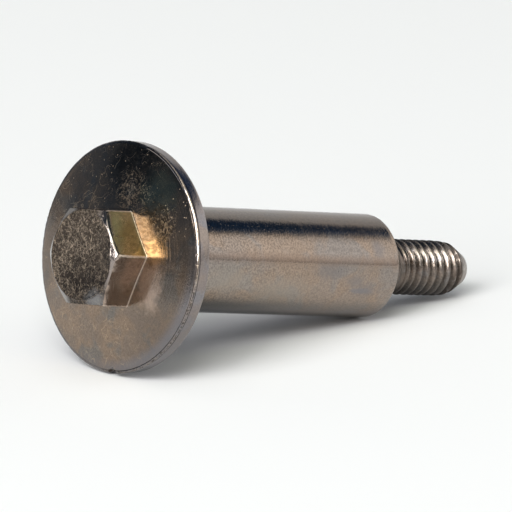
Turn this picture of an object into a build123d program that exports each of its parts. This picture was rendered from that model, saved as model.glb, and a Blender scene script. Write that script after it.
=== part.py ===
# Shoulder bolt with a hexagon head forged on a round flange, a plain shoulder
# and a threaded stud. It is one piece of steel, so it is one solid.
#
# The bolt is drawn upright about its own axis: the flange's underside is at
# Z = 0, the shoulder and the stud rise from it, and the head is below.
# The last block lays it down as it rests on a table, on the flange's rim and on
# the end of the shoulder. The table is then at Z = 0, and +X runs from the head
# to the stud. All sizes are in millimetres.

from build123d import *
from math import atan2, ceil, cos, degrees, radians, sin, sqrt, tan
import os

# Hexagon head
hex_width = 12.7  # across the flats, a half-inch spanner
hex_turn = 23.0  # how the head happened to come to rest, about the bolt's axis
head_height = 9.2  # from the flange's underside to the head's top
head_top_diameter = 12.25
head_chamfer_angle = 30.0

# Flange: a flat seat, a straight rim with a burr along its front edge, and a
# crowned front of two cones that rises to the head
flange_diameter = 31.75
rim_height = 2.2
rim_chamfer = 0.25
burr_diameter = 32.1
burr_height = 0.45
burr_crest = 0.15
cone_edge_diameter = 31.1
cone_edge_rise = 0.15
cone_knee_diameter = 25.0
cone_knee_rise = 0.8
cone_rise = 1.8
cone_top_inset = 0.35

# Shoulder
shoulder_diameter = 14.7
shoulder_length = 44.45
shoulder_root = 0.4  # bevel left in the corner by the turning tool
shoulder_chamfer = 0.2

# Threaded stud, right-handed
thread_diameter = 7.94
threads_per_inch = 18
stud_length = 18.6
tip_length = 2.2
tip_diameter = 4.7
runout_turns = 1.5

# Thread form: a 60 degree vee, flat at the crest and at the root
pitch = 25.4 / threads_per_inch
flank_angle = 30.0
sharp_height = pitch * sqrt(3) / 2
thread_depth = sharp_height * 5 / 8
root_width = pitch / 4

# Radii and heights that the drawing repeats
flange_r = flange_diameter / 2
burr_r = burr_diameter / 2
cone_edge_r = cone_edge_diameter / 2
cone_knee_r = cone_knee_diameter / 2
cone_top_r = hex_width / 2 - cone_top_inset
shoulder_r = shoulder_diameter / 2
crest_r = thread_diameter / 2
root_r = crest_r - thread_depth
tip_r = tip_diameter / 2
head_top_r = head_top_diameter / 2
hex_corner_r = hex_width / sqrt(3)
bolt_end = shoulder_length + stud_length

# How far cutting tools run past the metal, and how deep added metal is sunk
overrun = 1.0
sunk = 0.2


# One turn of the thread's groove, as a cutter that a loop repeats along the stud.
# It reaches a little past the crest, but not so far that it meets its next turn.
cutter_r = crest_r + pitch / 16
root_half = root_width / 2
mouth_half = root_half + (cutter_r - root_r) * tan(radians(flank_angle))

with BuildPart() as groove_turn:
    with BuildLine():
        root_line = Helix(pitch, pitch, root_r)
    with BuildSketch(Plane.XZ):
        with BuildLine():
            Polyline(
                (root_r, -root_half),
                (cutter_r, -mouth_half),
                (cutter_r, mouth_half),
                (root_r, root_half),
                close=True,
            )
        make_face()
    sweep(path=root_line, is_frenet=True)


with BuildPart() as upright_bolt:
    # Stud blank, from inside the shoulder to the tip. Its seam is turned away
    # from the plane where each turn of the groove begins.
    seam_turn = 20
    blank_start = shoulder_length - pitch
    with Locations((0, 0, blank_start)):
        Cylinder(
            crest_r,
            bolt_end - blank_start,
            rotation=(0, 0, seam_turn),
            align=(Align.CENTER, Align.CENTER, Align.MIN),
        )

    # Thread
    turns = ceil((bolt_end - blank_start) / pitch) + 2
    for turn in range(turns):
        with Locations((0, 0, blank_start + (turn - 1) * pitch)):
            add(groove_turn.part, mode=Mode.SUBTRACT)

    # Tip: a long chamfer that cuts through the last crests
    tip_slope = tip_length / (crest_r - tip_r)
    with BuildSketch(Plane.XZ):
        with BuildLine():
            Polyline(
                (crest_r + overrun, bolt_end - tip_length - overrun * tip_slope),
                (crest_r + overrun, bolt_end + overrun),
                (tip_r, bolt_end + overrun),
                (tip_r, bolt_end),
                close=True,
            )
        make_face()
    revolve(axis=Axis.Z, mode=Mode.SUBTRACT)

    # Flange, shoulder and the cone on which the thread runs out, in one turned
    # profile. The cone's small end is sunk inside the stud.
    runout_length = runout_turns * pitch
    runout_slope = runout_length / thread_depth
    core_r = root_r - sunk
    core_z = shoulder_length + runout_length + sunk * runout_slope
    with BuildSketch(Plane.XZ):
        with BuildLine():
            Polyline(
                (0, -rim_height - cone_rise),
                (cone_top_r, -rim_height - cone_rise),
                (cone_knee_r, -rim_height - cone_knee_rise),
                (cone_edge_r, -rim_height - cone_edge_rise),
                (burr_r, -rim_height + burr_crest),
                (flange_r, -rim_height + burr_height),
                (flange_r, -rim_chamfer),
                (flange_r - rim_chamfer, 0),
                (shoulder_r + shoulder_root, 0),
                (shoulder_r, shoulder_root),
                (shoulder_r, shoulder_length - shoulder_chamfer),
                (shoulder_r - shoulder_chamfer, shoulder_length),
                (crest_r, shoulder_length),
                (core_r, core_z),
                (0, core_z),
                close=True,
            )
        make_face()
    revolve(axis=Axis.Z)

    # Hexagon head, from its top down into the flange
    with BuildSketch(Plane.XY.offset(-head_height)):
        RegularPolygon(hex_width / 2, 6, major_radius=False, rotation=hex_turn)
    extrude(amount=head_height - rim_height)

    # Chamfer that trims the head's corners to a circle at its top
    chamfer_r = hex_corner_r + overrun
    chamfer_drop = (chamfer_r - head_top_r) * tan(radians(head_chamfer_angle))
    with BuildSketch(Plane.XZ):
        with BuildLine():
            Polyline(
                (head_top_r, -head_height),
                (chamfer_r, -head_height + chamfer_drop),
                (chamfer_r, -head_height - overrun),
                (head_top_r, -head_height - overrun),
                close=True,
            )
        make_face()
    revolve(axis=Axis.Z, mode=Mode.SUBTRACT)


# The bolt lies on the rear edge of its rim and on whichever comes down first:
# the end of the shoulder or the last full crest of the stud.
contact_r = flange_r
contact_z = rim_chamfer
shoulder_rest = (shoulder_r, shoulder_length - shoulder_chamfer)
stud_rest = (crest_r, bolt_end - tip_length)
slope = min(atan2(contact_r - r, z + contact_z) for r, z in (shoulder_rest, stud_rest))

# Height of the flange's underside above the table, and the two ends of the bolt
# along the table, measured from below the same point
seat_height = contact_r * cos(slope) - contact_z * sin(slope)
head_reach = head_height * cos(slope) + head_top_r * sin(slope)
stud_reach = bolt_end * cos(slope) + tip_r * sin(slope)
seat_x = (head_reach - stud_reach) / 2

resting_plane = Plane(
    origin=(seat_x, 0, seat_height),
    x_dir=(sin(slope), 0, cos(slope)),
    z_dir=(cos(slope), 0, -sin(slope)),
)

with BuildPart(resting_plane) as shoulder_bolt:
    add(upright_bolt.part)

shoulder_bolt.part.label = "shoulder_bolt"
os.makedirs("parts", exist_ok=True)
export_step(shoulder_bolt.part, "parts/shoulder_bolt.step")

print(f"slope {degrees(slope):.4f} degrees, seat at x {seat_x:.4f}, z {seat_height:.4f}")
print(f"volume {shoulder_bolt.part.volume:.1f}")
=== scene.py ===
# Looks of the shoulder bolt: a finer model of the one steel piece, its dark nickel
# plating, and the pale studio that it lies in.
#
# The bolt is modelled upright about its own axis, as it was turned: the flange's
# underside is at Z = 0, the shoulder and the stud rise from it, and the head is
# below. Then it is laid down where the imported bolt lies. Sizes are written in
# millimetres and multiplied by MM, because the scene is in metres.

from contextlib import contextmanager
from functools import reduce
from math import atan2, cos, degrees, pi, radians, sin, sqrt, tan

import bmesh
import bpy
from mathutils import Matrix, Vector


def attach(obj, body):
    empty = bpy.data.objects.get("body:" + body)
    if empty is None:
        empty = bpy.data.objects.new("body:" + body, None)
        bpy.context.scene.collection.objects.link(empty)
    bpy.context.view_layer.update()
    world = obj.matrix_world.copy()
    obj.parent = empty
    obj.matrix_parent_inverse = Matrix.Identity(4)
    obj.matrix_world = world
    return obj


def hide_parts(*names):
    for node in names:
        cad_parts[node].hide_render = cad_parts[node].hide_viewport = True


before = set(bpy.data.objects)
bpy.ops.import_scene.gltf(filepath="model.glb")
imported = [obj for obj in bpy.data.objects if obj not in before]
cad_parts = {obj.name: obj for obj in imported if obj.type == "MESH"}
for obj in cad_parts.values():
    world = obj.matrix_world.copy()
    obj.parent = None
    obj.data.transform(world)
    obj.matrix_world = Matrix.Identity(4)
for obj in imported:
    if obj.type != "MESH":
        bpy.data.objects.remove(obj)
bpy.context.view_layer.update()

MM = 0.001

# Sizes of the bolt, the same as in its source
HEX_WIDTH = 12.7
HEX_TURN = 23.0
HEAD_HEIGHT = 9.2
HEAD_TOP_R = 6.125
HEAD_CHAMFER_ANGLE = 30.0
SHOULDER_R = 7.35
SHOULDER_LENGTH = 44.45
CREST_R = 3.97
STUD_LENGTH = 18.6
TIP_R = 2.35
RIM_HEIGHT = 2.2
PITCH = 25.4 / 18
THREAD_DEPTH = PITCH * sqrt(3) / 2 * 5 / 8
ROOT_R = CREST_R - THREAD_DEPTH
BOLT_END = SHOULDER_LENGTH + STUD_LENGTH
HEX_CORNER_R = HEX_WIDTH / sqrt(3)

# How it lies: the point under its axis where the flange's underside is, and how
# far its axis slopes down towards the stud
SEAT_AT = Vector((-26.089, 0, 15.5444)) * MM
SLOPE = radians(10.8449)
LYING = Matrix((
    (sin(SLOPE), 0, cos(SLOPE)),
    (0, -1, 0),
    (cos(SLOPE), 0, -sin(SLOPE)),
))


# Modelling by hand

def deselect_everything():
    if bpy.context.object and bpy.context.object.mode != "OBJECT":
        bpy.ops.object.mode_set(mode="OBJECT")
    bpy.ops.object.select_all(action="DESELECT")


def pick(piece):
    """Selects one piece alone, and makes it the active one."""
    deselect_everything()
    piece.select_set(True)
    bpy.context.view_layer.objects.active = piece


@contextmanager
def editing(piece):
    """Edit mode on one piece, and object mode again after it."""
    pick(piece)
    bpy.ops.object.mode_set(mode="EDIT")
    yield
    bpy.ops.object.mode_set(mode="OBJECT")


def finish_modifier(piece, kind, **settings):
    """Adds one modifier and applies it at once."""
    pick(piece)
    modifier = piece.modifiers.new(kind.lower(), kind)
    for name, value in settings.items():
        setattr(modifier, name, value)
    bpy.ops.object.modifier_apply(modifier=modifier.name)


def select_whole():
    """In edit mode, selects all of the piece."""
    bpy.ops.mesh.select_all(action="SELECT")


def select_where(piece, domain, test):
    """In edit mode, selects only the vertices, edges or faces that pass the test."""
    bpy.ops.mesh.select_mode(type={"verts": "VERT", "edges": "EDGE", "faces": "FACE"}[domain])
    bpy.ops.mesh.select_all(action="DESELECT")
    work = bmesh.from_edit_mesh(piece.data)
    getattr(work, domain).index_update()
    for item in getattr(work, domain):
        if test(item):
            item.select_set(True)
    work.select_flush_mode()
    bmesh.update_edit_mesh(piece.data)


def ring_radius(piece):
    """Mean distance of the selected ring from the bolt's axis."""
    work = bmesh.from_edit_mesh(piece.data)
    reach = [v.co.xy.length for v in work.verts if v.select]
    return sum(reach) / len(reach)


def next_ring(rise):
    """Extrudes the selected ring along the axis, and leaves its groups behind."""
    bpy.ops.mesh.extrude_edges_move(TRANSFORM_OT_translate={"value": (0, 0, rise)})
    bpy.ops.object.vertex_group_remove_from(use_all_groups=True)


def scale_ring(factor):
    bpy.ops.transform.resize(value=(factor, factor, 1), center_override=(0, 0, 0))


def remember(piece, name):
    """Keeps the selected vertices in a group of that name."""
    group = piece.vertex_groups.get(name) or piece.vertex_groups.new(name=name)
    piece.vertex_groups.active_index = group.index
    bpy.ops.object.vertex_group_assign()


def drawn_profile(name, profile):
    """A line through (radius, height) points, left selected in edit mode."""
    deselect_everything()
    bpy.ops.mesh.primitive_plane_add(size=1 * MM)
    piece = bpy.context.object
    piece.name = name
    bpy.ops.object.mode_set(mode="EDIT")
    bpy.ops.mesh.select_mode(type="VERT")
    select_whole()
    bpy.ops.mesh.merge(type="CENTER")
    first = profile[0]
    bpy.ops.transform.translate(value=(first[0] * MM, 0, first[1] * MM))
    for (r0, z0), (r1, z1) in zip(profile, profile[1:]):
        step = ((r1 - r0) * MM, 0, (z1 - z0) * MM)
        bpy.ops.mesh.extrude_vertices_move(TRANSFORM_OT_translate={"value": step})
    select_whole()
    return piece


def turned_surface(name, profile, steps=384):
    """A surface turned about the bolt's axis from (radius, height) points."""
    piece = drawn_profile(name, profile)
    bpy.ops.mesh.spin(steps=steps, angle=2 * pi, center=(0, 0, 0), axis=(0, 0, 1))
    select_whole()
    bpy.ops.mesh.remove_doubles(threshold=1e-7)
    bpy.ops.mesh.normals_make_consistent(inside=False)
    bpy.ops.object.mode_set(mode="OBJECT")
    return piece


def angle_of(v):
    """A point's angle round the bolt's axis, in degrees."""
    return degrees(atan2(v.co.y, v.co.x))


def in_group(piece, name):
    """The numbers of the vertices in a group."""
    index = piece.vertex_groups[name].index
    return {v.index for v in piece.data.vertices if any(g.group == index for g in v.groups)}


def loop_of(piece, name, test=lambda v: True):
    """A test for the edges that join two vertices of a group, where both pass a test."""
    members = in_group(piece, name)
    return lambda e: all(v.index in members and test(v) for v in e.verts)


def bevel_loop(piece, test, offset, segments):
    """Rounds the edges that pass the test."""
    with editing(piece):
        select_where(piece, "edges", test)
        bpy.ops.mesh.bevel(offset=offset * MM, segments=segments, affect="EDGES", clamp_overlap=True)


def project_onto(piece, group, target):
    """Moves a group along the axis until it lies on another surface."""
    finish_modifier(
        piece,
        "SHRINKWRAP",
        target=target,
        vertex_group=group,
        wrap_method="PROJECT",
        use_project_x=False,
        use_project_y=False,
        use_project_z=True,
        use_negative_direction=True,
        use_positive_direction=True,
    )


def pull(piece, group, angle, move, reach):
    """Moves a ring's points at one angle, and what is within reach less and less."""
    members = in_group(piece, group)
    with editing(piece):
        select_where(
            piece, "verts", lambda v: v.index in members and abs(angle_of(v) - angle) < 1
        )
        bpy.ops.transform.translate(
            value=[step * MM for step in move],
            use_proportional_edit=True,
            proportional_edit_falloff="SMOOTH",
            proportional_size=reach * MM,
        )


def smooth_out(piece, where, times):
    """Wears down a part of the surface."""
    with editing(piece):
        select_where(piece, "verts", where)
        bpy.ops.mesh.vertices_smooth(factor=0.5, repeat=times)


def divide_chamfer(piece, bands):
    """Divides the chamfer into rings, so that it can be made uneven."""
    rim, foot = in_group(piece, "top_rim"), in_group(piece, "on_chamfer")
    known = len(piece.data.vertices)

    def crosses(edge):
        ends = [v.index for v in edge.verts]
        return sum(end in rim for end in ends) == 1 and any(end in foot for end in ends)

    with editing(piece):
        select_where(piece, "edges", crosses)
        bpy.ops.mesh.subdivide(number_cuts=bands - 1)
        select_where(piece, "verts", lambda v: v.index >= known)
        bpy.ops.object.vertex_group_remove_from(use_all_groups=True)


def roughen(piece, where, lump, depth, level=0.5):
    """Makes a part uneven by lumps of one size; level is the share that is cut away."""
    with editing(piece):
        select_where(piece, "verts", where)
        remember(piece, "uneven")
    lumps = bpy.data.textures.new("lumps", "CLOUDS")
    lumps.noise_scale = lump * MM
    lumps.noise_depth = 1
    finish_modifier(
        piece,
        "DISPLACE",
        texture=lumps,
        texture_coords="LOCAL",
        vertex_group="uneven",
        strength=depth * MM,
        mid_level=level,
    )
    piece.vertex_groups.remove(piece.vertex_groups["uneven"])


def nick(piece, middle, width, push):
    """A small dent: the points round its middle are pushed in."""
    centre = Vector(middle) * MM
    with editing(piece):
        for share in (1.0, 0.6):
            reach = width / 2 * share * MM
            select_where(piece, "verts", lambda v: (v.co - centre).length < reach)
            bpy.ops.transform.translate(value=[step * MM / 2 for step in push])


def merge_close(piece):
    """Joins points that a cut left within a thousandth of a millimetre of each other."""
    with editing(piece):
        select_whole()
        bpy.ops.mesh.remove_doubles(threshold=0.001 * MM)


def combine(piece, other, operation):
    """Cuts or joins two closed pieces into the first."""
    finish_modifier(piece, "BOOLEAN", object=other, operation=operation, solver="EXACT")
    bpy.data.objects.remove(other)


def crown_height(r):
    """Height of the flange's crowned front at a radius, both in millimetres."""
    return -4.319 + 0.008987 * r ** 2 - 3.49e-6 * r ** 4


# Head, flange and shoulder in one skin

# From the crown outwards, round the burr and the rim, over the seat and along
# the shoulder, as (radius, height)
CROWN_RINGS = [9.4, 10.4, 11.4, 12.4, 13.3, 14.1, 14.8, 15.3]
RIM_RINGS = [
    (15.50, -2.35), (15.56, -2.315), (15.61, -2.315), (15.66, -2.345), (15.70, -2.355),
    (15.74, -2.345), (15.82, -2.296), (15.90, -2.245), (15.945, -2.205), (15.97, -2.15),
    (15.965, -2.06), (15.92, -1.97), (15.85, -1.91), (15.83, -1.85),
    (15.87, -1.78), (15.875, -1.70), (15.875, -1.2), (15.875, -0.7), (15.875, -0.34),
    (15.865, -0.27), (15.83, -0.19), (15.77, -0.11), (15.69, -0.04), (15.60, 0.0),
]
SEAT_RINGS = [
    (15.3, 0.0), (12.0, 0.0), (9.0, 0.0), (7.95, 0.0),
    (7.70, 0.03), (7.52, 0.12), (7.40, 0.27), (7.35, 0.45), (7.35, 0.8),
]
SHOULDER_RINGS = [(SHOULDER_R, z) for z in (4, 8, 12, 16, 20, 24, 28, 32, 36, 40, 43.6, 44.1)]
END_RINGS = [
    (7.35, 44.22), (7.335, 44.30), (7.29, 44.37), (7.22, 44.42), (7.12, 44.45),
    (6.8, 44.45), (5.0, 44.45),
]

# The flats from their foot to the chamfer, before the foot is moved onto the crown,
# and the rings outside them: two that grow by a share each, then the first round one
FLAT_FOOT = -4.0
FLAT_STEPS = (-0.9, -1.2, -1.2, -0.7, -0.6)
CHAMFER_FOOT = -8.6
FOOT_RING_GROWTH = (1.045, 1.06)
FIRST_RING_R = 8.7

OUTLINE_POINTS = 384
CORNER_ROUND = 0.15
CORNER_SEGMENTS = 4
# Three corners that the forging left out of place: their angle, and how far they moved
FORGED_OUT = {83: (0.28, 0.0), 143: (-0.32, 0.25), 203: (-0.32, 0.18)}


def hexagon_outline():
    """The hexagon's outline with rounded corners, at the foot of the flats."""
    bpy.ops.mesh.primitive_circle_add(
        vertices=6,
        radius=HEX_CORNER_R * MM,
        fill_type="NOTHING",
        location=(0, 0, FLAT_FOOT * MM),
        rotation=(0, 0, radians(HEX_TURN - 30)),
    )
    piece = bpy.context.object
    bpy.ops.object.transform_apply(location=True, rotation=True, scale=True)
    bpy.ops.object.mode_set(mode="EDIT")
    for place, shift in FORGED_OUT.items():
        select_where(piece, "verts", lambda v: abs(angle_of(v) % 360 - place) < 5)
        bpy.ops.transform.translate(value=(shift[0] * MM, shift[1] * MM, 0))
    select_whole()
    bpy.ops.mesh.bevel(affect="VERTICES", offset=CORNER_ROUND * MM, segments=CORNER_SEGMENTS)
    select_where(piece, "edges", lambda e: e.calc_length() > 3 * MM)
    per_flat = OUTLINE_POINTS // 6 - CORNER_SEGMENTS - 1
    bpy.ops.mesh.subdivide(number_cuts=per_flat)
    select_whole()
    return piece


def model_body():
    """The head, the flange and the shoulder, drawn ring by ring from the foot of the flats."""
    piece = hexagon_outline()
    piece.name = "bolt"
    remember(piece, "on_crown")
    remember(piece, "foot")

    # Up the flats to the chamfer, and over it to the top face
    for rise in FLAT_STEPS:
        next_ring(rise * MM)
    remember(piece, "on_chamfer")
    next_ring((-HEAD_HEIGHT - CHAMFER_FOOT) * MM)
    bpy.ops.transform.tosphere(value=1.0, center_override=(0, 0, -HEAD_HEIGHT * MM))
    scale_ring(HEAD_TOP_R * MM / ring_radius(piece))
    remember(piece, "top_rim")
    bpy.ops.mesh.fill_grid(span=OUTLINE_POINTS // 4)

    # From the foot of the flats out over the crown
    foot = FLAT_FOOT * MM
    select_where(piece, "verts", lambda v: abs(v.co.z - foot) < 1e-6)
    bpy.ops.mesh.select_mode(type="EDGE")
    for factor in FOOT_RING_GROWTH:
        next_ring(0)
        scale_ring(factor)
        remember(piece, "on_crown")
    next_ring(0)
    bpy.ops.transform.tosphere(value=1.0, center_override=(0, 0, foot))
    scale_ring(FIRST_RING_R * MM / ring_radius(piece))
    remember(piece, "on_crown")

    # Turned part: crown, rim, seat, shoulder and its end
    rings = [(r, crown_height(r)) for r in CROWN_RINGS]
    rings += RIM_RINGS + SEAT_RINGS + SHOULDER_RINGS + END_RINGS
    radius, height = FIRST_RING_R, FLAT_FOOT
    for r, z in rings:
        next_ring((z - height) * MM)
        scale_ring(r / radius)
        radius, height = r, z
    bpy.ops.mesh.edge_face_add()
    select_whole()
    bpy.ops.mesh.normals_make_consistent(inside=False)
    bpy.ops.object.mode_set(mode="OBJECT")
    return piece


body = model_body()

crown_surface = turned_surface("crown_surface", [(r, crown_height(r)) for r in range(5, 11)])
chamfer_rise = tan(radians(HEAD_CHAMFER_ANGLE))
chamfer_surface = turned_surface(
    "chamfer_surface", [(r, -HEAD_HEIGHT + (r - HEAD_TOP_R) * chamfer_rise) for r in (5, 9)]
)
project_onto(body, "on_crown", crown_surface)
project_onto(body, "on_chamfer", chamfer_surface)

# The chamfer is small at the corner towards the camera, and the burr is worn off
# on the far side
pull(body, "on_chamfer", 83, (0.10, 0.0, -0.55), 3.2)
smooth_out(
    body,
    lambda v: v.co.xy.length > 15.4 * MM and v.co.z < -1.8 * MM and v.co.y < 3.0 * MM,
    times=12,
)

# Fillet where the flats meet the crown, and the worn edges of the chamfer
divide_chamfer(body, 4)
bevel_loop(body, loop_of(body, "foot"), 0.16, 4)
bevel_loop(body, loop_of(body, "on_chamfer"), 0.10, 4)
top_edge = loop_of(body, "top_rim", lambda v: v.co.xy.length > (HEAD_TOP_R - 0.06) * MM)
bevel_loop(body, top_edge, 0.20, 5)


def faces_lamp(v):
    """On the side of the head where the chamfer is polished."""
    return 34 < angle_of(v) < 86


def rough_chamfer(v):
    return v.co.z < -8.0 * MM and v.co.xy.length > 6.0 * MM and not faces_lamp(v)


def polished_chamfer(v):
    return v.co.z < -8.2 * MM and v.co.xy.length > 5.4 * MM and faces_lamp(v)


# Forged head, with lumps and a rough skin; the burr and the shoulder's end are ragged
roughen(body, lambda v: v.co.z < -8.0 * MM, 1.8, 0.14, 1.0)
roughen(body, lambda v: v.co.z < -9.0 * MM and v.co.xy.length < 6.0 * MM, 0.42, 0.09, 1.0)
roughen(body, rough_chamfer, 0.50, 0.03)
smooth_out(body, polished_chamfer, times=16)
roughen(body, lambda v: -8.0 * MM < v.co.z < -3.0 * MM, 2.6, 0.05)
roughen(body, lambda v: v.co.xy.length > 15.6 * MM and v.co.z < -1.88 * MM, 0.40, 0.06, 0.6)
roughen(body, lambda v: v.co.xy.length > 7.05 * MM and v.co.z > 44.15 * MM, 0.45, 0.05, 1.0)
nick(body, (-15.75, 1.92, -2.1), 1.3, (0.30, -0.03, 0.18))


# Threaded stud

# Half of one thread from the middle of its root to the middle of its crest, as
# (radius, distance along the axis); both corners are rounded by rolling
HALF_THREAD = [
    (ROOT_R, 0.0), (ROOT_R + 0.004, 0.09), (ROOT_R + 0.03, 0.165), (ROOT_R + 0.09, 0.225),
    (ROOT_R + 0.25, 0.315), (ROOT_R + 0.42, 0.412), (ROOT_R + 0.56, 0.495),
    (ROOT_R + 0.66, 0.56), (CREST_R - 0.035, 0.625), (CREST_R - 0.008, 0.665),
    (CREST_R, PITCH / 2),
]
# Where the thread starts, in turns before the shoulder's end, and how far it goes
THREAD_LEAD = 3.19
THREAD_TURNS = 19
THREAD_STEPS = 80
STUD_STEPS = 120
# The first turns are shallow: a plain neck, and where the thread is at full depth
NECK = 2.6 * PITCH
RUNOUT = 4.8 * PITCH
# The last crests are worn from here to the tip
WORN_FROM = BOLT_END - 5.3


def threaded_rod():
    """A rod with the rolled thread on it, cut square and closed at both ends."""
    profile = HALF_THREAD + [(r, PITCH - z) for r, z in HALF_THREAD[-2::-1]]
    start = SHOULDER_LENGTH - THREAD_LEAD * PITCH
    piece = drawn_profile("threaded_rod", [(r, z + start) for r, z in profile])
    bpy.ops.object.mode_set(mode="OBJECT")
    finish_modifier(
        piece,
        "SCREW",
        angle=2 * pi,
        screw_offset=PITCH * MM,
        iterations=THREAD_TURNS,
        steps=THREAD_STEPS,
        render_steps=THREAD_STEPS,
        axis="Z",
        use_smooth_shade=True,
    )
    with editing(piece):
        select_whole()
        bpy.ops.mesh.remove_doubles(threshold=1e-6)
        for height, outwards in ((SHOULDER_LENGTH - 1.0, -1), (BOLT_END + 0.9, 1)):
            select_whole()
            bpy.ops.mesh.bisect(
                plane_co=(0, 0, height * MM),
                plane_no=(0, 0, outwards),
                use_fill=True,
                clear_outer=True,
                threshold=1e-8,
            )
        select_whole()
        bpy.ops.mesh.normals_make_consistent(inside=False)
    return piece


rod = threaded_rod()
stud_blank = turned_surface(
    "stud_blank",
    [
        (0, SHOULDER_LENGTH - 0.7), (CREST_R + 0.3, SHOULDER_LENGTH - 0.7),
        (CREST_R + 0.3, WORN_FROM - 1.0), (CREST_R, WORN_FROM),
        (CREST_R - 0.07, WORN_FROM + 1.3), (CREST_R - 0.20, WORN_FROM + 2.5),
        (TIP_R + 0.14, BOLT_END - 0.34), (TIP_R + 0.06, BOLT_END - 0.14),
        (TIP_R - 0.02, BOLT_END - 0.04), (TIP_R - 0.12, BOLT_END), (0, BOLT_END),
    ],
    steps=STUD_STEPS,
)
combine(rod, stud_blank, "INTERSECT")

# A cone inside the stud fills the grooves of the first turns
core_end = SHOULDER_LENGTH + NECK + (RUNOUT - NECK) * (1 + 0.2 / THREAD_DEPTH)
runout_cone = turned_surface(
    "runout_cone",
    [
        (0, SHOULDER_LENGTH - 0.5), (CREST_R - 0.02, SHOULDER_LENGTH - 0.5),
        (CREST_R - 0.04, SHOULDER_LENGTH + NECK), (ROOT_R - 0.2, core_end), (0, core_end),
    ],
    steps=STUD_STEPS,
)
combine(rod, runout_cone, "UNION")
merge_close(rod)
combine(body, rod, "UNION")
body.vertex_groups.clear()
for helper in (crown_surface, chamfer_surface):
    bpy.data.objects.remove(helper)


# Finish: one dark nickel plating over six kinds of surface

class Nodes:
    """Short ways to add nodes to one tree."""

    def __init__(self, tree):
        self.tree = tree

    def add(self, kind, **settings):
        node = self.tree.nodes.new(kind)
        for name, value in settings.items():
            setattr(node, name, value)
        return node

    def feed(self, socket, value):
        if isinstance(value, bpy.types.NodeSocket):
            self.tree.links.new(value, socket)
        else:
            socket.default_value = value

    def math(self, operation, a, b=0.0):
        node = self.add("ShaderNodeMath", operation=operation)
        self.feed(node.inputs[0], a)
        self.feed(node.inputs[1], b)
        return node.outputs[0]

    def plus(self, a, b):
        return self.math("ADD", a, b)

    def minus(self, a, b):
        return self.math("SUBTRACT", a, b)

    def times(self, *values):
        return reduce(lambda a, b: self.math("MULTIPLY", a, b), values)

    def most(self, *values):
        return reduce(lambda a, b: self.math("MAXIMUM", a, b), values)

    def length(self, place):
        node = self.add("ShaderNodeVectorMath", operation="LENGTH")
        self.feed(node.inputs[0], place)
        return node.outputs["Value"]

    def vector(self, operation, a, b=(0, 0, 0)):
        node = self.add("ShaderNodeVectorMath", operation=operation)
        self.feed(node.inputs[0], a)
        self.feed(node.inputs["Scale" if operation == "SCALE" else 1], b)
        return node.outputs[0]

    def split(self, place):
        node = self.add("ShaderNodeSeparateXYZ")
        self.feed(node.inputs[0], place)
        return node.outputs

    def span(self, value, low, high, to_low=0.0, to_high=1.0):
        """A value that rises smoothly as another goes from low to high."""
        node = self.add("ShaderNodeMapRange", clamp=True, interpolation_type="SMOOTHSTEP")
        for name, number in zip(
            ("Value", "From Min", "From Max", "To Min", "To Max"),
            (value, low, high, to_low, to_high),
        ):
            self.feed(node.inputs[name], number)
        return node.outputs[0]

    def near(self, value, middle, half_width):
        """1 where a value is at the middle, 0 where it is half_width away."""
        return self.span(self.math("ABSOLUTE", self.minus(value, middle)), half_width, 0.0)

    def noise(self, place, detail=2.0, distortion=0.0):
        node = self.add("ShaderNodeTexNoise")
        self.feed(node.inputs["Vector"], place)
        self.feed(node.inputs["Scale"], 1.0)
        self.feed(node.inputs["Detail"], detail)
        self.feed(node.inputs["Distortion"], distortion)
        return node.outputs["Fac"]

    def over(self, place, size, shift=(0, 0, 0)):
        """The place counted in steps of one size, and moved."""
        counted = self.vector("SCALE", place, self.math("DIVIDE", 1.0, size))
        return self.vector("ADD", counted, shift)

    def mix(self, factor, a, b):
        node = self.add("ShaderNodeMix", data_type="RGBA")
        for socket, value in ((node.inputs[0], factor), (node.inputs[6], a), (node.inputs[7], b)):
            self.feed(socket, value)
        return node.outputs[2]

    def tint(self, colour, shade, mask, share):
        """Lays a shade over a colour where the mask is, as strongly as the share says."""
        return self.mix(self.times(mask, share), colour, (*shade, 1))

    def effect(self, group, **values):
        """Places an effect, with its inputs given by name, and gives its one result."""
        node = self.add("ShaderNodeGroup", node_tree=group)
        for name, value in values.items():
            self.feed(node.inputs[name], value)
        return node.outputs[0]

    def curve(self, value, stops):
        """A curve of straight lines through (position, height) stops."""
        node = self.add("ShaderNodeFloatCurve")
        line = node.mapping.curves[0]
        while len(line.points) < len(stops):
            line.points.new(0.5, 0.5)
        for point, (x, y) in zip(line.points, stops):
            point.location = (x, y)
            point.handle_type = "VECTOR"
        node.mapping.update()
        self.feed(node.inputs["Value"], value)
        return node.outputs[0]


def start_effect(name, values, output, shades=()):
    """An empty effect, given a place, shades and values, that puts out one result."""
    tree = bpy.data.node_groups.new(name, "ShaderNodeTree")
    given = {"Place": "Vector", **dict.fromkeys(shades, "Color"), **dict.fromkeys(values, "Float")}
    for label, kind in given.items():
        tree.interface.new_socket(name=label, in_out="INPUT", socket_type="NodeSocket" + kind)
    kind = "Color" if shades else "Float"
    tree.interface.new_socket(name=output, in_out="OUTPUT", socket_type="NodeSocket" + kind)
    n = Nodes(tree)
    return tree, n, n.add("NodeGroupInput").outputs, n.add("NodeGroupOutput").inputs


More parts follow.
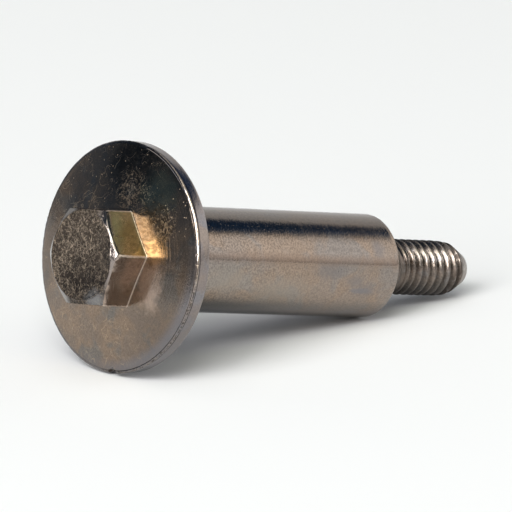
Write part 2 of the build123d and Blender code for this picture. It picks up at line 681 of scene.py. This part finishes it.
def make_mottled_plating():
    """Three shades of the plating in soft patches, with a fine speckle over them."""
    tree, n, given, result = start_effect(
        "mottled_plating", ("Patch", "Speckle"), "Colour", shades=("Shade", "Second", "Third")
    )
    patches = n.over(given["Place"], given["Patch"])
    first = n.span(n.noise(patches, 3.0, 0.4), 0.42, 0.60)
    second = n.span(n.noise(n.vector("ADD", patches, (7.3, 2.1, 4.9)), 4.0, 0.6), 0.50, 0.66)
    colour = n.mix(second, n.mix(first, given["Shade"], given["Second"]), given["Third"])
    fine = n.noise(n.over(given["Place"], 0.26), 3.0)
    dark = n.minus(1.0, given["Speckle"])
    bright = n.plus(1.0, given["Speckle"])
    level = n.span(fine, 0.32, 0.68, dark, bright)
    n.feed(result["Colour"], n.vector("SCALE", colour, level))
    return tree


def make_grain():
    """The skin of the metal under the plating: lumps of one size with finer ones on them."""
    tree, n, given, result = start_effect("grain", ("Size",), "Height")
    coarse = n.noise(n.over(given["Place"], given["Size"]), 1.0)
    fine = n.noise(n.over(given["Place"], n.times(given["Size"], 0.36), (3.1, 8.2, 5.5)), 1.0)
    n.feed(result["Height"], n.plus(coarse, n.times(fine, 0.4)))
    return tree


def make_pits():
    """Small round pits, in a share of the cells that the surface is divided into."""
    tree, n, given, result = start_effect("pits", ("Spacing", "Share"), "Mask")
    cells = n.add("ShaderNodeTexVoronoi")
    n.feed(cells.inputs["Vector"], n.over(given["Place"], given["Spacing"]))
    n.feed(cells.inputs["Scale"], 1.0)
    chance = n.split(cells.outputs["Color"])[0]
    hole = n.span(cells.outputs["Distance"], 0.20, 0.06)
    n.feed(result["Mask"], n.times(hole, n.math("LESS_THAN", chance, given["Share"])))
    return tree


def make_creases():
    """Short thin lines that curl about, as on a rough forging or from handling."""
    tree, n, given, result = start_effect("creases", ("Size", "Width"), "Mask")
    lines = []
    for shift in ((0, 0, 0), (11.7, 4.3, 9.1), (5.2, 17.9, 2.6)):
        place = n.over(given["Place"], given["Size"], shift)
        away = n.math("ABSOLUTE", n.minus(n.noise(place, 1.0, 1.2), 0.5))
        line = n.span(away, given["Width"], 0.0)
        broken = n.span(n.noise(n.over(place, 0.7, shift), 1.0), 0.46, 0.58)
        lines.append(n.times(line, broken))
    n.feed(result["Mask"], n.most(*lines))
    return tree


def make_turned_lines():
    """Fine lines left by a turning tool, at a distance counted outwards or along the axis."""
    tree, n, given, result = start_effect("turned_lines", ("Distance", "Spacing"), "Height")
    wander = n.times(n.noise(n.over(given["Place"], 5.0), 1.0), 0.5)
    steps = n.math("DIVIDE", n.plus(given["Distance"], wander), given["Spacing"])
    line = n.add("ShaderNodeTexNoise", noise_dimensions="1D")
    n.feed(line.inputs["W"], steps)
    n.feed(line.inputs["Scale"], 1.0)
    n.feed(line.inputs["Detail"], 2.0)
    n.feed(result["Height"], line.outputs["Fac"])
    return tree


def make_worn_edge():
    """Where an edge has lost its plating, broken up along its length."""
    tree, n, given, result = start_effect("worn_edge", ("Closeness", "Breaks"), "Mask")
    uneven = n.minus(n.noise(n.over(given["Place"], given["Breaks"]), 2.0), 0.5)
    reach = n.plus(given["Closeness"], n.times(uneven, 1.6))
    n.feed(result["Mask"], n.span(reach, 0.55, 0.85))
    return tree


mottled_plating = make_mottled_plating()
grain = make_grain()
pits = make_pits()
creases = make_creases()
turned_lines = make_turned_lines()
worn_edge = make_worn_edge()


# The hexagon's corners as they were forged, upwards and to the camera's side of the axis
HEX_CORNERS = []
for turn in range(6):
    angle = HEX_TURN + 60 * turn
    shift = FORGED_OUT.get(round(angle), (0.0, 0.0))
    HEX_CORNERS.append((
        HEX_CORNER_R * cos(radians(angle)) + shift[0],
        HEX_CORNER_R * sin(radians(angle)) + shift[1],
    ))


class Finish:
    """One plated surface: its shader, and places on the bolt to paint by, in millimetres."""

    def __init__(self, name):
        self.material = bpy.data.materials.new(name)
        self.material.use_nodes = True
        self.n = Nodes(self.material.node_tree)
        self.shader = self.material.node_tree.nodes["Principled BSDF"]
        self.shader.inputs["Metallic"].default_value = 1.0
        mapping = self.n.add("ShaderNodeMapping", vector_type="TEXTURE")
        mapping.inputs["Location"].default_value = SEAT_AT
        mapping.inputs["Rotation"].default_value = LYING.to_euler()
        mapping.inputs["Scale"].default_value = (MM, MM, MM)
        texture_place = self.n.add("ShaderNodeTexCoord").outputs["Object"]
        self.n.feed(mapping.inputs["Vector"], texture_place)
        self.place = mapping.outputs["Vector"]
        self.up, self.side, self.along = self.n.split(self.place)
        squares = [self.n.math("POWER", reach, 2.0) for reach in (self.up, self.side)]
        self.radius = self.n.math("SQRT", self.n.plus(*squares))

    def towards(self, angle):
        """Distance from the axis at one angle, counted from the top to the camera's side."""
        n = self.n
        upwards = n.times(self.up, cos(radians(angle)))
        return n.plus(upwards, n.times(self.side, sin(radians(angle))))

    def patch(self, middle, size, soft=1.0):
        """A blot with a ragged edge round one point of the bolt."""
        n = self.n
        reach = n.length(n.vector("DIVIDE", n.vector("SUBTRACT", self.place, middle), size))
        ragged = n.times(n.minus(n.noise(n.over(self.place, 0.9), 3.0), 0.5), 1.2)
        return n.span(n.plus(reach, ragged), 1.0 + 0.4 * soft, 1.0 - 0.4 * soft)

    def plating(self, shade, second, third, patch, speckle):
        """The plating's colour, in three shades."""
        return self.n.effect(
            mottled_plating, Place=self.place, Shade=(*shade, 1), Second=(*second, 1),
            Third=(*third, 1), Patch=patch, Speckle=speckle,
        )

    def grain(self, size):
        return self.n.effect(grain, Place=self.place, Size=size)

    def pits(self, spacing, share):
        return self.n.effect(pits, Place=self.place, Spacing=spacing, Share=share)

    def creases(self, size, width, shift=None):
        """Curled lines; a shift takes them from another part of the pattern."""
        place = self.n.vector("ADD", self.place, shift) if shift else self.place
        return self.n.effect(creases, Place=place, Size=size, Width=width)

    def turned_lines(self, distance, spacing):
        return self.n.effect(turned_lines, Place=self.place, Distance=distance, Spacing=spacing)

    def worn_edge(self, closeness, breaks):
        return self.n.effect(worn_edge, Place=self.place, Closeness=closeness, Breaks=breaks)

    def scuffed(self, roughness, marks, rise):
        """Roughness that rises where the surface is scratched or pitted."""
        return self.n.plus(roughness, self.n.times(marks, rise))

    def paint(self, colour, roughness, *heights):
        """Colour, roughness and bumps, each as (height, depth in millimetres)."""
        n = self.n
        n.feed(self.shader.inputs["Base Color"], colour)
        n.feed(self.shader.inputs["Roughness"], roughness)
        normal = None
        for height, depth in heights:
            bump = n.add("ShaderNodeBump")
            bump.inputs["Distance"].default_value = depth * MM
            n.feed(bump.inputs["Height"], height)
            if normal is not None:
                n.feed(bump.inputs["Normal"], normal)
            normal = bump.outputs["Normal"]
        n.feed(self.shader.inputs["Normal"], normal)
        return self.material


def forged_top():
    """The head's top and chamfer: rough, dark and covered with short curled lines."""
    f = Finish("forged_top")
    n = f.n
    colour = f.plating(
        (0.060, 0.047, 0.039), (0.034, 0.027, 0.024), (0.092, 0.073, 0.058),
        patch=2.6, speckle=0.30,
    )
    # Painted light: one side of the top is painted lighter
    painted_lit_side = n.span(f.towards(-35), -4.0, 5.0)
    colour = n.tint(colour, (0.150, 0.118, 0.092), painted_lit_side, 0.45)
    fine = f.creases(size=0.95, width=0.026)
    long = f.creases(size=1.7, width=0.018, shift=(31, 7, 12))
    bright = n.most(fine, long)
    deep = f.creases(size=1.05, width=0.045, shift=(3, 47, 22))
    colour = n.tint(colour, (0.016, 0.013, 0.011), deep, 0.6)
    # The bright curled lines are painted stronger on that same painted lit side
    lines_seen = n.span(f.towards(-35), -6.0, 3.0, 0.50, 1.0)
    colour = n.tint(colour, (0.43, 0.34, 0.255), bright, lines_seen)
    # The chamfer is rough like the top, but smoother on the camera's side, at one
    # corner there and on the far side. These smooth places are also painted lighter:
    # painted highlights on the camera's side and the far side, and a bluish painted
    # reflection at the corner.
    on_chamfer = n.span(f.radius, 6.18, 6.36)
    polished = n.times(n.span(f.radius, 6.05, 6.25), n.span(f.towards(72), 3.2, 5.2))
    colour = n.tint(colour, (0.36, 0.31, 0.285), polished, 0.85)
    far_side = n.times(n.span(f.towards(267), 1.2, 3.2), on_chamfer)
    colour = n.tint(colour, (0.33, 0.315, 0.30), far_side, 0.8)
    bloom = f.patch((-5.6, 3.7, -8.8), (1.2, 1.5, 0.9), 2.0)
    colour = n.tint(colour, (0.38, 0.385, 0.395), bloom, 0.50)
    smooth = n.most(polished, bloom, far_side)
    roughness = n.minus(0.48, n.times(smooth, 0.34))
    skin = f.grain(size=0.22)
    uneven = n.minus(1.0, n.times(smooth, 0.92))
    skin = n.times(skin, uneven)
    creased = n.times(n.minus(bright, n.times(deep, 1.9)), uneven)
    return f.paint(colour, roughness, (skin, 0.028), (creased, 0.016))


def hexagon_flats():
    """The head's flats: smooth, with a few hair lines, and a painted green reflection on one."""
    f = Finish("hexagon_flats")
    n = f.n
    colour = f.plating(
        (0.39, 0.305, 0.25), (0.34, 0.265, 0.215), (0.42, 0.35, 0.30),
        patch=3.0, speckle=0.10,
    )
    # Painted reflection: the flat that faces up and to the camera's side is given a greenish tint
    painted_olive_reflection = n.span(f.towards(HEX_TURN + 30), 6.2, 6.3)
    colour = n.tint(colour, (0.42, 0.37, 0.25), painted_olive_reflection, 0.5)
    nearness = []
    for up, side in HEX_CORNERS:
        away = n.vector("MULTIPLY", n.vector("SUBTRACT", f.place, (up, side, 0)), (1, 1, 0))
        nearness.append(n.span(n.length(away), 0.30, 0.10))
    corner = f.worn_edge(n.most(*nearness), breaks=0.35)
    colour = n.tint(colour, (0.80, 0.68, 0.58), corner, 0.8)
    marks = f.creases(size=2.6, width=0.03)
    colour = n.tint(colour, (0.10, 0.085, 0.07), marks, 0.35)
    skin = f.grain(size=0.45)
    return f.paint(colour, f.scuffed(0.15, corner, 0.35), (skin, 0.004), (marks, -0.004))


def turned_crown():
    """The flange's front: turned, brown and smooth below, dull and scratched above."""
    f = Finish("turned_crown")
    n = f.n
    colour = f.plating(
        (0.215, 0.170, 0.138), (0.255, 0.190, 0.142), (0.180, 0.162, 0.146),
        patch=3.8, speckle=0.13,
    )
    # Painted shade: darker to the right, below the middle
    painted_shade_right_low = n.times(n.span(f.side, 3.0, 12.0), n.span(f.up, 1.0, -3.0))
    colour = n.tint(colour, (0.118, 0.098, 0.084), painted_shade_right_low, 0.5)
    # A bluish bloom inside the rim, lower down on the camera's side
    outside = n.span(f.radius, 13.6, 15.3)
    lower = n.span(f.towards(135), 4.0, 14.0)
    colour = n.tint(colour, (0.19, 0.19, 0.21), n.times(outside, lower), 0.7)
    # A green stain on the right of the upper half, and a patch of painted shade on the left
    stain = f.patch((10.0, 7.0, -3.4), (3.2, 3.0, 4.0))
    colour = n.tint(colour, (0.260, 0.290, 0.200), stain, 0.50)
    painted_shade_left = f.patch((-1.0, -15.0, -2.6), (8.0, 3.6, 4.0))
    colour = n.tint(colour, (0.135, 0.108, 0.090), painted_shade_left, 0.6)
    # Painted reflections of light thrown by the flat below: a redder patch, a golden
    # glow, and a darker orange patch broken up by streaks
    painted_warm_reflection = f.patch((-2.2, 8.5, -3.6), (3.6, 1.9, 4.0))
    colour = n.tint(colour, (0.440, 0.335, 0.270), painted_warm_reflection, 0.7)
    painted_golden_reflection = f.patch((2.3, 8.7, -3.6), (1.7, 1.8, 4.0))
    lit = f.patch((4.4, 7.2, -3.6), (4.0, 3.2, 4.0))
    colour = n.tint(colour, (0.235, 0.155, 0.090), lit, 0.65)
    colour = n.tint(colour, (0.55, 0.345, 0.165), painted_golden_reflection, 0.65)
    streaks = n.noise(n.vector("MULTIPLY", n.over(f.place, 0.42), (1.0, 0.45, 1.0)), 3.0)
    broken = n.times(lit, n.span(streaks, 0.58, 0.40))
    colour = n.tint(colour, (0.130, 0.084, 0.046), broken, 0.75)
    # Hair lines and pits gather in clusters on the upper half
    upper = n.span(f.up, 2.5, 8.5)
    cluster = n.most(
        f.patch((9.2, 2.6, -3.5), (2.6, 4.2, 4.0), 1.6),
        f.patch((6.0, 8.8, -3.5), (2.6, 2.2, 4.0), 1.6),
        n.times(f.patch((14.0, 4.0, -2.8), (1.6, 4.5, 4.0), 1.4), 0.4),
    )
    hairs = f.creases(size=0.9, width=0.024)
    hairs = n.times(hairs, n.plus(n.times(cluster, 0.65), 0.06))
    scratches = f.creases(size=3.0, width=0.010, shift=(5, 15, 9))
    scratches = n.times(scratches, n.span(f.side, 9.0, 3.0, 0.1, 0.45))
    hairs = n.most(hairs, scratches)
    flecks = f.pits(spacing=0.50, share=0.27)
    flecks = n.times(flecks, n.plus(n.times(upper, 0.7), 0.25))
    marks = n.most(hairs, flecks)
    colour = n.tint(colour, (0.60, 0.45, 0.30), marks, 0.75)
    lines = f.turned_lines(f.radius, spacing=0.16)
    skin = f.grain(size=0.42)
    right = n.times(n.span(f.side, 8.0, 11.0), n.span(f.up, -7.0, -2.0))
    brushed = n.vector("SCALE", colour, n.span(lines, 0.36, 0.62, 0.72, 1.26))
    colour = n.mix(n.times(right, 0.8), colour, brushed)
    swirls = f.creases(size=1.9, width=0.014, shift=(27, 3, 14))
    swirls = n.times(swirls, n.times(n.span(f.up, -3.0, -8.0), n.span(f.side, 6.0, -2.0)))
    colour = n.tint(colour, (0.42, 0.35, 0.28), swirls, 0.35)
    lines = n.times(lines, n.plus(n.times(right, 3.0), 1.0))
    rough = n.span(n.noise(n.over(f.place, 3.5), 3.0), 0.35, 0.65, 0.11, 0.19)
    return f.paint(
        colour, f.scuffed(rough, marks, 0.40),
        (lines, 0.0045), (skin, 0.006), (flecks, -0.018), (hairs, 0.008),
    )


def turned_rim():
    """The rim: greyer, with bluish blooms, and a worn burr along its front, painted brighter there
    as a highlight.
    """
    f = Finish("turned_rim")
    n = f.n
    colour = f.plating(
        (0.265, 0.226, 0.210), (0.245, 0.235, 0.245), (0.290, 0.240, 0.208),
        patch=3.2, speckle=0.10,
    )
    # Painted shade below the middle, and painted light near the top
    below = n.span(f.up, 0.0, -11.0)
    colour = n.tint(colour, (0.155, 0.148, 0.152), below, 0.75)
    above = n.span(f.up, 6.0, 12.0)
    colour = n.tint(colour, (0.34, 0.30, 0.28), above, 0.5)
    # The burr is worn, and is painted brighter at the front and broken by dark beads, as a painted
    # highlight
    burr = f.worn_edge(n.near(f.along, -2.22, 0.22), breaks=0.6)
    front = n.times(n.span(f.up, -2.5, 2.0), n.span(f.side, 3.0, 6.0))
    colour = n.tint(colour, (0.62, 0.50, 0.38), burr, n.span(front, 0.0, 1.0, 0.12, 0.8))
    beads = n.span(n.noise(n.over(f.place, 0.30), 1.0), 0.42, 0.56)
    gaps = n.times(beads, burr, n.minus(1.0, n.times(front, 0.45)))
    colour = n.tint(colour, (0.06, 0.052, 0.048), gaps, 0.8)
    valley = f.worn_edge(n.near(f.radius, 15.60, 0.10), breaks=1.2)
    valley = n.times(valley, n.span(f.along, -2.2, -2.28))
    colour = n.tint(colour, (0.04, 0.034, 0.030), valley, 0.7)
    dent = f.patch((-15.7, 1.9, -2.1), (0.7, 0.9, 0.6), 0.6)
    colour = n.tint(colour, (0.03, 0.022, 0.018), dent, 0.8)
    crack = f.worn_edge(n.near(f.along, -1.84, 0.12), breaks=1.5)
    colour = n.tint(colour, (0.03, 0.026, 0.024), crack, 0.8)
    lines = f.turned_lines(f.along, spacing=0.10)
    skin = f.grain(size=0.35)
    return f.paint(colour, 0.14, (lines, 0.003), (skin, 0.008))


def ground_shoulder():
    """The shoulder and the seat: ground, then plated, with a sandy grain and bluish scuffs."""
    f = Finish("ground_shoulder")
    n = f.n
    colour = f.plating(
        (0.298, 0.240, 0.198), (0.314, 0.240, 0.186), (0.272, 0.236, 0.210),
        patch=5.0, speckle=n.span(f.along, 34.0, 6.0, 0.17, 0.29),
    )
    # Painted sheen: two pale patches on the camera's side
    pale = n.most(
        f.patch((-1.6, 7.1, 12.0), (1.8, 3.0, 4.0), 2.2),
        f.patch((-3.0, 6.6, 22.0), (1.8, 3.0, 5.0), 2.2),
    )
    colour = n.tint(colour, (0.300, 0.268, 0.232), pale, 0.65)
    # Painted shade: a darker strip along the top
    top = n.span(f.up, 5.6, 6.6)
    colour = n.tint(colour, (0.212, 0.190, 0.172), top, 0.6)
    blots = (
        ((-2.4, 6.9, 38.4), (0.9, 3.0, 2.4)),
        ((-1.2, 7.2, 36.0), (0.8, 3.0, 1.6)),
        ((0.2, 7.3, 31.0), (1.1, 3.0, 2.6)),
        ((3.3, 6.6, 40.5), (1.2, 2.0, 1.0)),
    )
    scuffs = n.most(*(f.patch(middle, size, 1.8) for middle, size in blots))
    colour = n.tint(colour, (0.205, 0.190, 0.190), scuffs, 0.55)
    scuff = f.patch((-2.6, 6.85, 37.8), (0.40, 3.0, 1.9), 0.9)
    colour = n.tint(colour, (0.205, 0.200, 0.215), scuff, 0.55)
    # Painted reflection: a redder strip 77 degrees round from the top
    painted_red_reflection = n.near(f.towards(77 - 90), 0.0, 1.2)
    colour = n.tint(colour, (0.300, 0.212, 0.162), painted_red_reflection, 0.45)
    spots = f.pits(spacing=0.46, share=0.45)
    colour = n.tint(colour, (0.08, 0.068, 0.058), spots, 0.55)
    # Painted shade along the underside, deeper towards the flange
    painted_shade_beneath = n.times(n.span(f.up, -3.9, -5.6), n.span(f.along, 44.0, 8.0, 0.35, 0.9))
    colour = n.mix(painted_shade_beneath, colour, (0.128, 0.125, 0.126, 1))
    skin = f.grain(size=0.26)
    broad = n.noise(n.over(f.place, 2.5), 2.0)
    rough = n.span(n.noise(n.over(f.place, 4.0), 3.0), 0.35, 0.65, 0.035, 0.065)
    return f.paint(
        colour, f.scuffed(rough, scuffs, 0.08),
        (skin, 0.0052), (broad, 0.012), (spots, -0.012),
    )


def rolled_thread():
    """The stud: darker plating, with painted shade in the grooves."""
    f = Finish("rolled_thread")
    n = f.n
    colour = f.plating(
        (0.235, 0.192, 0.162), (0.175, 0.150, 0.130), (0.225, 0.205, 0.195),
        patch=1.8, speckle=0.18,
    )
    dull = n.span(f.up, 1.2, -0.6)
    # Painted shade in the grooves, weaker on the lower side
    painted_groove_shade = n.times(n.span(f.radius, CREST_R - 0.25, ROOT_R), n.minus(0.35, n.times(dull, 0.25)))
    colour = n.mix(painted_groove_shade, colour, (0.090, 0.080, 0.066, 1))
    # Painted shade on the underside
    painted_shade_beneath = n.span(f.up, -0.5, -3.6)
    colour = n.tint(colour, (0.120, 0.118, 0.116), painted_shade_beneath, 0.7)
    tip = n.span(f.along, BOLT_END - 2.0, BOLT_END - 1.2)
    colour = n.tint(colour, (0.42, 0.385, 0.355), tip, 0.7)
    # Painted shade on the stud near the shoulder's end
    neck = n.span(f.along, 50.2, 48.8)
    colour = n.tint(colour, (0.110, 0.088, 0.072), neck, 0.5)
    worn = n.times(
        n.span(f.along, BOLT_END - 4.9, BOLT_END - 3.4),
        n.span(f.along, BOLT_END - 1.6, BOLT_END - 2.2),
        n.span(n.noise(n.over(f.place, 0.7), 2.0), 0.30, 0.55),
    )
    colour = n.tint(colour, (0.085, 0.066, 0.055), worn, 0.75)
    skin = f.grain(size=0.30)
    rough = n.span(n.noise(n.over(f.place, 0.8), 2.0), 0.35, 0.65, 0.16, 0.25)
    rough = n.plus(rough, n.times(dull, 0.27))
    return f.paint(colour, f.scuffed(rough, worn, 0.2), (skin, 0.008))


def dress(piece):
    """Gives each part of the bolt its finish, by place and by which way it faces."""

    def on_stud(r, z, facing):
        return z > SHOULDER_LENGTH + 0.02 or (z > SHOULDER_LENGTH - 0.05 and r < CREST_R + 0.1)

    # A later finish takes the faces that pass its test from the earlier ones
    finishes = (
        (ground_shoulder(), lambda r, z, facing: True),
        (rolled_thread(), on_stud),
        (turned_rim(), lambda r, z, facing: r > 15.42 and z < -0.02),
        (turned_crown(), lambda r, z, facing: z < -2.3 and r < 15.50),
        (hexagon_flats(), lambda r, z, facing: z < -3.6 and r < 8.2 and abs(facing.z) < 0.6),
        (forged_top(), lambda r, z, facing: z < -8.0 and facing.z < -0.35),
    )
    piece.data.materials.clear()
    for material, _ in finishes:
        piece.data.materials.append(material)
    with editing(piece):
        for slot, (_, test) in enumerate(finishes):
            def belongs(face):
                middle = face.calc_center_median() / MM
                return test(middle.xy.length, middle.z, face.normal)
            select_where(piece, "faces", belongs)
            piece.active_material_index = slot
            bpy.ops.object.material_slot_assign()


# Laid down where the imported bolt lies

dress(body)
body.rotation_euler = LYING.to_euler()
body.location = SEAT_AT
pick(body)
bpy.ops.object.transform_apply(location=True, rotation=True, scale=True)
bpy.ops.object.shade_smooth()
finish_modifier(body, "WEIGHTED_NORMAL", mode="FACE_AREA", weight=50, keep_sharp=True)
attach(body, "root")
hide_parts("shoulder_bolt")


# Floor, studio and camera

FLOOR_SIZE = 8.0  # this and the lamps' distances are in metres
BRIGHTEST = 3.0  # the top of the scale on which the studio's brightness is drawn

# The camera as found from the photo: its direction in degrees, its place from the
# middle of the flange's front edge in millimetres, and its lens
CAMERA_AZIMUTH = -42.38
CAMERA_ELEVATION = 13.618
CAMERA_BACK = 869.2
CAMERA_RIGHT = 18.66
CAMERA_UP = 0.087
CAMERA_LENS = 447.5
SENSOR_WIDTH = 36.0


def place_floor():
    """Pale paper under the bolt, out past everything that the camera sees."""
    deselect_everything()
    bpy.ops.mesh.primitive_plane_add(size=FLOOR_SIZE, location=(0, 0, 0))
    floor = bpy.context.object
    floor.name = "floor"
    paper = bpy.data.materials.new("white_paper")
    paper.use_nodes = True
    surface = paper.node_tree.nodes["Principled BSDF"]
    surface.inputs["Base Color"].default_value = (0.9, 0.9, 0.9, 1)
    surface.inputs["Roughness"].default_value = 0.9
    surface.inputs["Specular IOR Level"].default_value = 0.1
    floor.data.materials.append(paper)


def towards(azimuth, elevation):
    """A direction from the bolt: azimuth 0 is +Y and 90 is +X."""
    a, e = radians(azimuth), radians(elevation)
    return Vector((sin(a) * cos(e), cos(a) * cos(e), sin(e)))


def softbox(name, azimuth, elevation, distance, width, height, radiance):
    """A lamp that faces the bolt and looks as bright as it says."""
    light = bpy.data.lights.new(name, "AREA")
    light.shape = "RECTANGLE"
    light.size = width
    light.size_y = height
    light.energy = radiance * pi * width * height
    lamp = bpy.data.objects.new(name, light)
    bpy.context.scene.collection.objects.link(lamp)
    lamp.location = towards(azimuth, elevation) * distance
    lamp.rotation_euler = lamp.location.to_track_quat("Z", "Y").to_euler()


def height_share(elevation):
    """An elevation in degrees, as a share of the way from straight down to straight up."""
    return (elevation + 90) / 180


def studio():
    """The room: a lit ceiling, pale walls on the right, and dark hangings on the left."""
    world = bpy.data.worlds.new("studio")
    bpy.context.scene.world = world
    world.use_nodes = True
    world.node_tree.nodes.clear()
    n = Nodes(world.node_tree)
    x, y, z = n.split(n.add("ShaderNodeTexCoord").outputs["Generated"])
    elevation = n.plus(n.times(n.math("ARCSINE", z), 1 / pi), 0.5)
    flat = n.math("SQRT", n.plus(n.times(x, x), n.times(y, y)))
    flat = n.most(flat, 1e-4)

    def facing(azimuth, half_width, soft):
        """1 near that azimuth, falling to 0 past half_width degrees."""
        a = radians(azimuth)
        along = n.plus(n.times(x, sin(a)), n.times(y, cos(a)))
        along = n.math("DIVIDE", along, flat)
        return n.span(along, cos(radians(half_width + soft)), cos(radians(half_width)))

    # Brightness by elevation in degrees; the floor hides what is below 0
    ceiling = [(66, 0.08), (71, 1.05), (90, 1.0)]
    front = [
        (0, 0.5), (12, 0.35), (35, 0.3), (46, 0.35), (52, 1.1), (60, 1.6), (66, 1.6),
        (71, 0.95), (90, 0.9),
    ]
    # Each wall's azimuth, half width and soft edge in degrees, then its brightness
    walls = (
        ((168, 12, 10), [(0, 0.7), (35, 0.7), (66, 0.7), (71, 0.95), (90, 0.9)]),
        ((118, 34, 10), [
            (0, 0.62), (2.5, 0.80), (7, 1.05), (14, 1.22), (27, 1.16), (30.8, 0.94),
            (32.8, 0.50), (34.2, 0.19), (35.2, 0.04), *ceiling,
        ]),
        ((62, 24, 10), [
            (0, 0.70), (5, 0.70), (20, 0.66), (27, 0.62), (32.6, 0.54), (33.4, 0.25),
            (34.0, 0.04), *ceiling,
        ]),
        ((-62, 14, 8), [
            (0, 0.38), (5, 0.27), (12, 0.22), (16, 0.13), (19, 0.07), (36, 0.05), *ceiling,
        ]),
        ((-40, 7, 5), [(0, 0.34), (6, 0.20), (11, 0.10), (15, 0.03), (36, 0.03), *ceiling]),
        ((-27, 4, 4), [
            (0, 0.30), (4, 0.18), (9, 0.18), (14, 0.16), (20, 0.08), (36, 0.05), *ceiling,
        ]),
        ((14, 24, 8), [(0, 0.20), (4, 0.15), (8, 0.55), (26, 0.55), (34, 0.08), *ceiling]),
    )

    def brightness(stops):
        return n.curve(elevation, [(height_share(e), v / BRIGHTEST) for e, v in stops])

    level = brightness(front)
    for place, stops in walls:
        node = n.add("ShaderNodeMix", data_type="FLOAT")
        n.feed(node.inputs["Factor"], facing(*place))
        n.feed(node.inputs["A"], level)
        n.feed(node.inputs["B"], brightness(stops))
        level = node.outputs["Result"]
    # The dark parts are a little blue, a band on the right is much bluer, and the
    # ceiling in front is a little green
    level = n.times(level, BRIGHTEST)
    tint = n.mix(n.span(level, 0.30, 0.06), (1.0, 1.0, 1.0, 1), (0.66, 1.0, 1.50, 1))
    band = n.times(facing(90, 20, 6), n.near(elevation, height_share(38), 5.0 / 180))
    tint = n.mix(band, tint, (0.32, 1.05, 2.90, 1))
    green = n.times(facing(-148, 36, 14), n.near(elevation, height_share(57), 16 / 180))
    tint = n.mix(green, tint, (0.96, 1.05, 0.70, 1))
    background = n.add("ShaderNodeBackground")
    n.feed(background.inputs["Color"], tint)
    n.feed(background.inputs["Strength"], level)
    n.feed(n.add("ShaderNodeOutputWorld").inputs["Surface"], background.outputs[0])


def place_camera():
    """A long lens a little above the bolt, in front of the head and to its left."""
    a, e = radians(CAMERA_AZIMUTH), radians(CAMERA_ELEVATION)
    back = Vector((sin(a) * cos(e), -cos(a) * cos(e), sin(e)))
    right = Vector((cos(a), sin(a), 0))
    up = back.cross(right)
    axis = Vector((cos(SLOPE), 0, -sin(SLOPE)))
    lip = SEAT_AT - axis * RIM_HEIGHT * MM
    data = bpy.data.cameras.new("camera")
    data.lens = CAMERA_LENS
    data.sensor_width = SENSOR_WIDTH
    data.clip_start = 0.05
    data.clip_end = 20.0
    camera = bpy.data.objects.new("camera", data)
    bpy.context.scene.collection.objects.link(camera)
    shift = back * CAMERA_BACK + right * CAMERA_RIGHT + up * CAMERA_UP
    camera.location = lip + shift * MM
    camera.rotation_euler = Matrix((right, up, back)).transposed().to_euler()
    bpy.context.scene.camera = camera


place_floor()
softbox("key_lamp", -105, 31, distance=3.0, width=1.30, height=2.00, radiance=9.0)
softbox("side_lamp", -131, 41, distance=3.0, width=1.25, height=0.95, radiance=8.0)
studio()
place_camera()
bpy.context.scene.view_settings.view_transform = "Standard"
